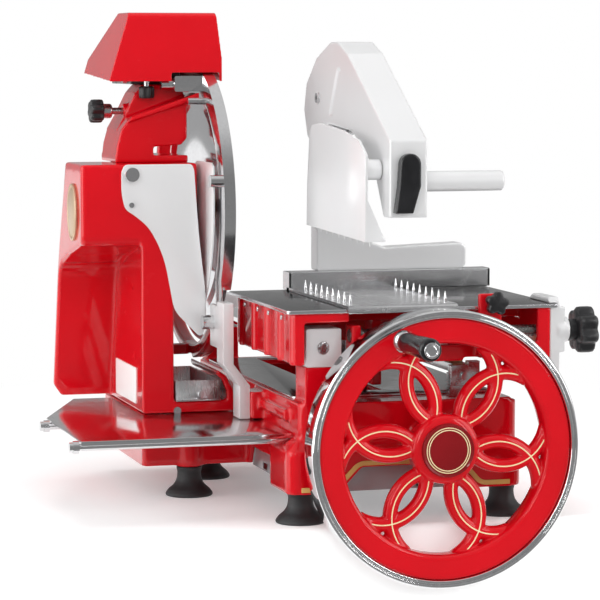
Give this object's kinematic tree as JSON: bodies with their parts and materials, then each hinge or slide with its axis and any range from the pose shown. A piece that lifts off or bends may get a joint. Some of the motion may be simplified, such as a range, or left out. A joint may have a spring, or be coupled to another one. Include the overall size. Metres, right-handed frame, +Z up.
{
  "type": "deli meat slicer",
  "caption": "Hand-cranked flywheel slicer: spoked flywheel, sliding carriage with toothed meat plate and hold-down arm, round blade in a tower with sharpener.",
  "frame": {"origin": "centre of the front-left rubber foot's contact face on the counter", "axes": "+X to the operator's right, +Y away from the operator along the carriage's travel, +Z up"},
  "size_m": [0.583, 0.6736, 0.622],
  "materials": {
    "red_enamel": "gloss red enamel on cast aluminium",
    "white_enamel": "satin silver-white enamel on cast aluminium",
    "stainless": "fine brushed stainless sheet",
    "dark_stainless": "polished stainless deck",
    "steel": "machined steel",
    "chrome": "polished chrome",
    "blade_steel": "circular ground and polished blade steel",
    "black_plastic": "black moulded plastic",
    "rubber": "matt black rubber",
    "bronze": "bearing bronze",
    "chain_steel": "oiled dark steel",
    "badge": "dark enamel badge with a pale ring",
    "abrasive": "fine grey abrasive"
  },
  "bodies": {
    "frame": {"base_casting": "red_enamel", "base_top_plate": "dark_stainless", "bottom_pan": "steel", "rubber_feet": "rubber", "tower_casting": "red_enamel", "neck_casting": "red_enamel", "sharpener_body": "steel", "guard_ring": "stainless", "rear_guard": "red_enamel", "guard_post": "white_enamel", "fixed_fasteners": "steel", "blade_cover": "stainless", "drive_chain": "chain_steel", "shaft_bearings": "steel", "guide_rod": "chrome", "rod_blocks": "white_enamel", "support_rail": "steel", "deflector": "white_enamel", "oval_badge": "badge", "tray_rods": "steel", "slice_tray": "stainless"},
    "hood": {"sharpener_hood": "red_enamel"},
    "stone": {"grinding_stone": "abrasive", "stone_spindle": "steel"},
    "hone_knob": {"sharpener_knob": "black_plastic"},
    "lock": {"lock_knob": "black_plastic"},
    "blade_group": {"blade": "blade_steel", "blade_spindle": "steel", "blade_screws": "steel", "spindle_sprocket": "chain_steel"},
    "cross_group": {"cross_shaft": "steel", "cross_sprocket": "chain_steel", "driven_bevel": "chain_steel", "crank_disc": "steel"},
    "flywheel": {"flywheel_red": "red_enamel", "flywheel_band": "chrome", "hub_badge": "badge", "crank_pin": "chrome", "flywheel_shaft": "steel", "driving_bevel": "chain_steel"},
    "grip": {"crank_grip": "black_plastic"},
    "rocker": {"rocker_arm": "steel"},
    "carriage": {"carriage_casting": "red_enamel", "sliding_bushes": "bronze", "carriage_table": "dark_stainless", "end_bracket": "white_enamel"},
    "setting": {"setting_knob": "black_plastic"},
    "feed_drive": {"feed_knob": "black_plastic", "feed_screw": "steel"},
    "feed_plate": {"meat_plate": "stainless", "plate_spikes": "chrome", "feed_nut": "bronze", "holder_bracket": "white_enamel"},
    "arm": {"holder_arm": "white_enamel", "arm_pivot_pin": "steel", "arm_handle": "white_enamel"},
    "press": {"press_plate": "stainless"},
    "lever": {"arm_lever": "black_plastic"},
    "drawer": {"crumb_drawer": "stainless"},
    "deflector_knob": {"deflector_screws": "stainless"}
  },
  "joints": [
    {"name": "flywheel_spin", "type": "hinge", "parent": "frame", "child": "flywheel", "pos_m": [0.1395, -0.071, 0.086], "axis": [0, 1, 0], "continuous": true},
    {"name": "grip_spin", "type": "hinge", "parent": "flywheel", "child": "grip", "pos_m": [0.09072, -0.13, 0.20434], "axis": [0, 1, 0], "continuous": true},
    {"name": "cross_shaft_spin", "type": "hinge", "parent": "frame", "child": "cross_group", "pos_m": [0, 0.266, 0.086], "axis": [1, 0, 0], "continuous": true},
    {"name": "blade_spin", "type": "hinge", "parent": "frame", "child": "blade_group", "pos_m": [-0.037, 0.318, 0.329], "axis": [1, 0, 0], "continuous": true},
    {"name": "carriage_travel", "type": "slide", "parent": "frame", "child": "carriage", "axis": [0, 1, 0], "range_m": [0, 0.225]},
    {"name": "rocker_swing", "type": "hinge", "parent": "frame", "child": "rocker", "pos_m": [0.092, 0.15, 0.052], "axis": [-1, 0, 0], "range_deg": [0, 76]},
    {"name": "plate_feed", "type": "slide", "parent": "carriage", "child": "feed_plate", "axis": [-1, 0, 0], "range_m": [-0.018, 0.055]},
    {"name": "feed_knob_turn", "type": "hinge", "parent": "carriage", "child": "feed_drive", "pos_m": [0.3, -0.024, 0.206], "axis": [1, 0, 0], "continuous": true},
    {"name": "thickness_knob_turn", "type": "hinge", "parent": "carriage", "child": "setting", "pos_m": [0.204, -0.058, 0.24], "axis": [0, 1, 0], "range_deg": [0, 300]},
    {"name": "arm_swing", "type": "hinge", "parent": "feed_plate", "child": "arm", "pos_m": [0.097, 0.195, 0.459], "axis": [1, 0, 0], "range_deg": [-48, 9]},
    {"name": "press_tilt", "type": "hinge", "parent": "arm", "child": "press", "pos_m": [0.06, -0.044, 0.386], "axis": [1, 0, 0], "range_deg": [-8, 8]},
    {"name": "arm_lever_turn", "type": "hinge", "parent": "arm", "child": "lever", "pos_m": [0.096, -0.086, 0.393], "axis": [0, 1, 0], "range_deg": [-45, 45]},
    {"name": "hood_open", "type": "hinge", "parent": "frame", "child": "hood", "pos_m": [-0.095, 0.405, 0.492], "axis": [-1, 0, 0], "range_deg": [0, 54]},
    {"name": "stone_spin", "type": "hinge", "parent": "frame", "child": "stone", "pos_m": [-0.06, 0.318, 0.482], "axis": [1, 0, 0], "continuous": true},
    {"name": "hone_knob_turn", "type": "hinge", "parent": "frame", "child": "hone_knob", "pos_m": [-0.108, 0.276, 0.465], "axis": [0, 0, 1], "range_deg": [-180, 180]},
    {"name": "lock_knob_turn", "type": "hinge", "parent": "frame", "child": "lock", "pos_m": [-0.155, 0.3, 0.443], "axis": [1, 0, 0], "range_deg": [-180, 180]},
    {"name": "deflector_screw_turn", "type": "hinge", "parent": "frame", "child": "deflector_knob", "pos_m": [-0.1435, 0.2, 0.373], "axis": [0, 1, 0], "range_deg": [-180, 180]},
    {"name": "drawer_slide", "type": "slide", "parent": "frame", "child": "drawer", "axis": [0, -1, 0], "range_m": [0, 0.12]}
  ],
  "couplings": [
    {"joint": "cross_shaft_spin", "follows": "flywheel_spin", "ratio": -1},
    {"joint": "blade_spin", "follows": "flywheel_spin", "ratio": -3},
    {"joint": "feed_knob_turn", "follows": "plate_feed", "rad_per_m": 392.7},
    {"joint": "rocker_swing", "follows": "carriage_travel", "rad_per_m": 5.8894}
  ]
}
